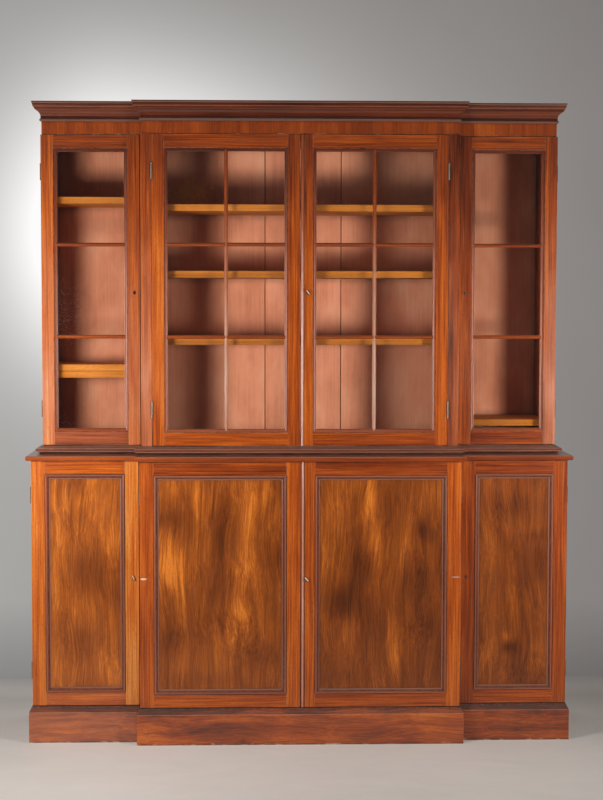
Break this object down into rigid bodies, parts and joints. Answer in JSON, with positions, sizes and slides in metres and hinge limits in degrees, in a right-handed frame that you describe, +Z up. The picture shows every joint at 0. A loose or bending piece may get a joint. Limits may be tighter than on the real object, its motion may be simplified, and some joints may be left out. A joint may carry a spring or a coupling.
{
  "type": "library bookcase",
  "caption": "Breakfront library bookcase: glazed upper case with shelves on a panelled cupboard, hinged doors, moulded cornice, waist and plinth.",
  "frame": {"origin": "on the floor, under the middle of the bookcase's overall width and depth", "axes": "+Z up, the doors face -Y, +X to the right as seen from the front"},
  "size_m": [2.048, 0.496, 2.4],
  "materials": {
    "frame_mahogany": "french polished mahogany, worn",
    "carcass_mahogany": "stained and polished mahogany",
    "moulding_mahogany": "dark polished mahogany, dusty in the hollows",
    "flame_mahogany": "flame figured mahogany veneer, polished",
    "frieze_veneer": "cross grained mahogany veneer, polished",
    "shelf_pine": "varnished pine, golden",
    "painted_back": "thin terracotta paint on boards, matt",
    "glass": "clear old window glass",
    "steel": "worn bright steel",
    "brass": "dull brass"
  },
  "bodies": {
    "cabinet": {"plinth": "moulding_mahogany", "lower_bottom": "carcass_mahogany", "lower_back": "painted_back", "waist_board": "moulding_mahogany", "upper_base": "moulding_mahogany", "upper_back": "painted_back", "upper_top": "carcass_mahogany", "frieze": "frieze_veneer", "cornice": "moulding_mahogany", "lower_side_left": "carcass_mahogany", "lower_side_right": "carcass_mahogany", "upper_side_left": "carcass_mahogany", "upper_side_right": "carcass_mahogany", "lower_partition_left": "carcass_mahogany", "lower_partition_right": "carcass_mahogany", "upper_partition_left": "frame_mahogany", "upper_partition_right": "frame_mahogany", "left_shelf_upper": "shelf_pine", "left_shelf_lower": "shelf_pine", "left_shelf_spare": "shelf_pine", "centre_shelf_top": "shelf_pine", "centre_shelf_middle": "shelf_pine", "centre_shelf_bottom": "shelf_pine", "right_shelf": "shelf_pine", "upper_left_wing_hinge_bottom": "brass", "upper_left_wing_hinge_top": "brass", "upper_centre_left_hinge_bottom": "brass", "upper_centre_left_hinge_top": "brass", "upper_right_wing_hinge_bottom": "brass", "upper_right_wing_hinge_top": "brass", "upper_centre_right_hinge_bottom": "brass", "upper_centre_right_hinge_top": "brass"},
    "upper_left_wing_door": {"upper_left_wing_frame": "frame_mahogany", "upper_left_wing_glass": "glass"},
    "upper_left_wing_bolt": {"upper_left_wing_bolt": "brass"},
    "upper_centre_left_door": {"upper_centre_left_frame": "frame_mahogany", "upper_centre_left_glass": "glass"},
    "lower_left_wing_door": {"lower_left_wing_frame": "frame_mahogany", "lower_left_wing_panel": "flame_mahogany"},
    "lower_left_wing_bolt": {"lower_left_wing_bolt": "brass"},
    "lower_left_wing_key": {"lower_left_wing_key": "steel"},
    "lower_centre_left_door": {"lower_centre_left_frame": "frame_mahogany", "lower_centre_left_panel": "flame_mahogany"},
    "upper_right_wing_door": {"upper_right_wing_frame": "frame_mahogany", "upper_right_wing_glass": "glass"},
    "upper_right_wing_bolt": {"upper_right_wing_bolt": "brass"},
    "upper_centre_right_door": {"upper_centre_right_frame": "frame_mahogany", "upper_centre_right_glass": "glass"},
    "upper_centre_right_bolt": {"upper_centre_right_bolt": "brass"},
    "upper_centre_right_key": {"upper_centre_right_key": "steel"},
    "lower_right_wing_door": {"lower_right_wing_frame": "frame_mahogany", "lower_right_wing_panel": "flame_mahogany"},
    "lower_right_wing_bolt": {"lower_right_wing_bolt": "brass"},
    "lower_centre_right_door": {"lower_centre_right_frame": "frame_mahogany", "lower_centre_right_panel": "flame_mahogany"},
    "lower_centre_right_bolt": {"lower_centre_right_bolt": "brass"},
    "lower_centre_right_key": {"lower_centre_right_key": "steel"}
  },
  "joints": [
    {"name": "upper_left_wing_hinge", "type": "hinge", "parent": "cabinet", "child": "upper_left_wing_door", "pos_m": [-0.9745, -0.0673, 1.1147], "axis": [0, 0, -1], "range_deg": [0, 170]},
    {"name": "upper_left_wing_bolt_slide", "type": "slide", "parent": "upper_left_wing_door", "child": "upper_left_wing_bolt", "axis": [1, 0, 0], "range_m": [0, 0.012]},
    {"name": "upper_centre_left_hinge", "type": "hinge", "parent": "cabinet", "child": "upper_centre_left_door", "pos_m": [-0.5563, -0.1425, 1.1147], "axis": [0, 0, -1], "range_deg": [0, 110]},
    {"name": "lower_left_wing_hinge", "type": "hinge", "parent": "cabinet", "child": "lower_left_wing_door", "pos_m": [-1.0085, -0.1573, 0.1393], "axis": [0, 0, -1], "range_deg": [0, 170]},
    {"name": "lower_left_wing_bolt_slide", "type": "slide", "parent": "lower_left_wing_door", "child": "lower_left_wing_bolt", "axis": [1, 0, 0], "range_m": [0, 0.012]},
    {"name": "lower_left_wing_key_turn", "type": "hinge", "parent": "lower_left_wing_door", "child": "lower_left_wing_key", "pos_m": [-0.625, -0.182, 0.624], "axis": [0, -1, 0], "range_deg": [0, 70]},
    {"name": "lower_centre_left_hinge", "type": "hinge", "parent": "cabinet", "child": "lower_centre_left_door", "pos_m": [-0.6015, -0.2053, 0.1393], "axis": [0, 0, -1], "range_deg": [0, 100]},
    {"name": "upper_right_wing_hinge", "type": "hinge", "parent": "cabinet", "child": "upper_right_wing_door", "pos_m": [0.9745, -0.0673, 1.1147], "axis": [0, 0, 1], "range_deg": [0, 170]},
    {"name": "upper_right_wing_bolt_slide", "type": "slide", "parent": "upper_right_wing_door", "child": "upper_right_wing_bolt", "axis": [-1, 0, 0], "range_m": [0, 0.012]},
    {"name": "upper_centre_right_hinge", "type": "hinge", "parent": "cabinet", "child": "upper_centre_right_door", "pos_m": [0.5563, -0.1425, 1.1147], "axis": [0, 0, 1], "range_deg": [0, 110]},
    {"name": "upper_centre_right_bolt_slide", "type": "slide", "parent": "upper_centre_right_door", "child": "upper_centre_right_bolt", "axis": [-1, 0, 0], "range_m": [0, 0.009]},
    {"name": "upper_centre_right_key_turn", "type": "hinge", "parent": "upper_centre_right_door", "child": "upper_centre_right_key", "pos_m": [0.0283, -0.14, 1.692], "axis": [0, 1, 0], "range_deg": [0, 70]},
    {"name": "lower_right_wing_hinge", "type": "hinge", "parent": "cabinet", "child": "lower_right_wing_door", "pos_m": [1.0085, -0.1573, 0.1393], "axis": [0, 0, 1], "range_deg": [0, 170]},
    {"name": "lower_right_wing_bolt_slide", "type": "slide", "parent": "lower_right_wing_door", "child": "lower_right_wing_bolt", "axis": [-1, 0, 0], "range_m": [0, 0.012]},
    {"name": "lower_centre_right_hinge", "type": "hinge", "parent": "cabinet", "child": "lower_centre_right_door", "pos_m": [0.6015, -0.2053, 0.1393], "axis": [0, 0, 1], "range_deg": [0, 110]},
    {"name": "lower_centre_right_bolt_slide", "type": "slide", "parent": "lower_centre_right_door", "child": "lower_centre_right_bolt", "axis": [-1, 0, 0], "range_m": [0, 0.009]},
    {"name": "lower_centre_right_key_turn", "type": "hinge", "parent": "lower_centre_right_door", "child": "lower_centre_right_key", "pos_m": [0.0223, -0.23, 0.624], "axis": [0, 1, 0], "range_deg": [0, 70]}
  ],
  "couplings": [
    {"joint": "lower_left_wing_key_turn", "follows": "lower_left_wing_bolt_slide", "rad_per_m": 101.8},
    {"joint": "upper_centre_right_key_turn", "follows": "upper_centre_right_bolt_slide", "rad_per_m": 135.7},
    {"joint": "lower_centre_right_key_turn", "follows": "lower_centre_right_bolt_slide", "rad_per_m": 135.7}
  ]
}
